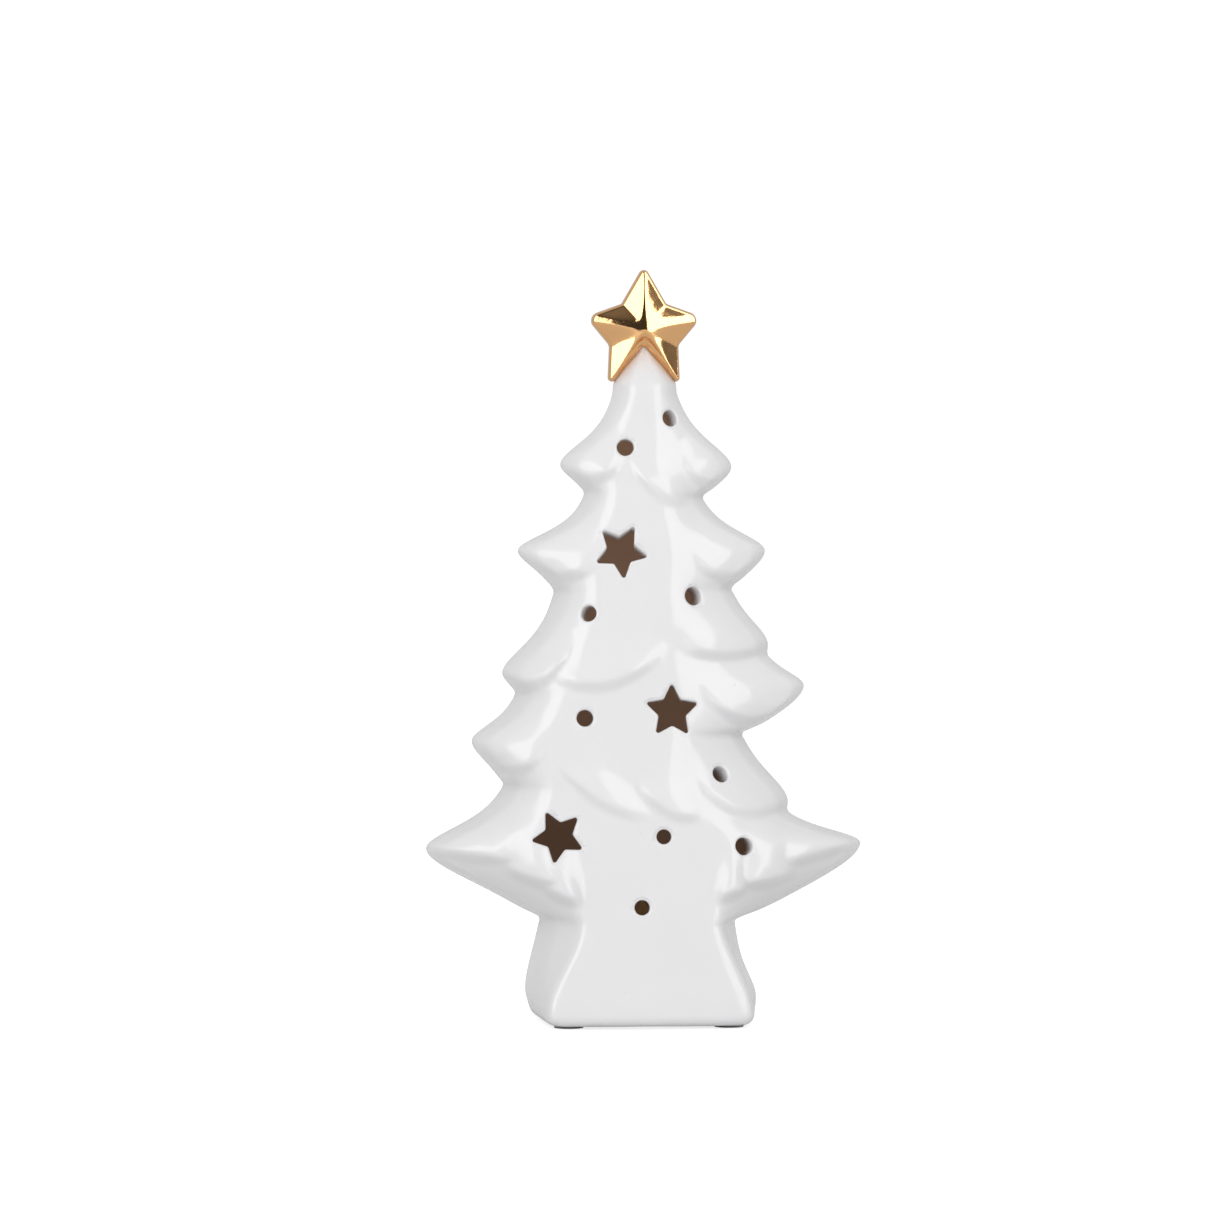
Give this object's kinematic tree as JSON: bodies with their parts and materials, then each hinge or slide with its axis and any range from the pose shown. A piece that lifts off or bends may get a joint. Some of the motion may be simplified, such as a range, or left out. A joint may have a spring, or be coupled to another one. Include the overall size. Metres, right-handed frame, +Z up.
{
  "type": "tealight holder",
  "caption": "White glazed porcelain Christmas tree with round and star piercings and a gold star, lit from inside by a battery tealight pushed up through its floor.",
  "frame": {"origin": "on the table, under the middle of the base", "axes": "+Z up to the star, -Y out of the pierced front, +X to the right as the front is seen"},
  "size_m": [0.1208, 0.058, 0.2073],
  "materials": {
    "white_glaze": "smooth clear gloss glaze over white porcelain",
    "gold_lustre": "mirror-bright gold lustre fired on the glaze",
    "silicone": "translucent white silicone, satin",
    "felt": "dense dark grey felt",
    "white_plastic": "moulded satin",
    "flame_plastic": "translucent, frosted",
    "led_epoxy": "clear amber, polished",
    "tinned_wire": "tinned",
    "sprung_brass": "stamped",
    "black_plastic": "moulded satin",
    "plated_steel": "zinc plated",
    "cell_steel": "polished stainless steel"
  },
  "bodies": {
    "tree": {"tree_body": "white_glaze", "star_topper": "gold_lustre", "light_ring": "silicone", "foot_pads": "felt"},
    "tealight": {"candle_cup": "white_plastic", "flame_lens": "flame_plastic", "led_bulb": "led_epoxy", "led_leads": "tinned_wire", "contact_positive": "sprung_brass", "contact_negative": "sprung_brass", "switch_blade": "sprung_brass", "base_cover": "white_plastic"},
    "switch": {"switch_slider": "black_plastic"},
    "door": {"battery_door": "white_plastic", "door_screw": "plated_steel", "cell_can": "cell_steel", "cell_seal": "black_plastic", "cell_cap": "cell_steel"}
  },
  "joints": [
    {"name": "tealight_pull", "type": "slide", "parent": "tree", "child": "tealight", "axis": [0, 0, -1], "range_m": [0, 0.045]},
    {"name": "switch_slide", "type": "slide", "parent": "tealight", "child": "switch", "axis": [1, 0, 0], "range_m": [0, 0.0025]},
    {"name": "door_lift", "type": "slide", "parent": "tealight", "child": "door", "axis": [0, 0, -1], "range_m": [0, 0.015]}
  ]
}
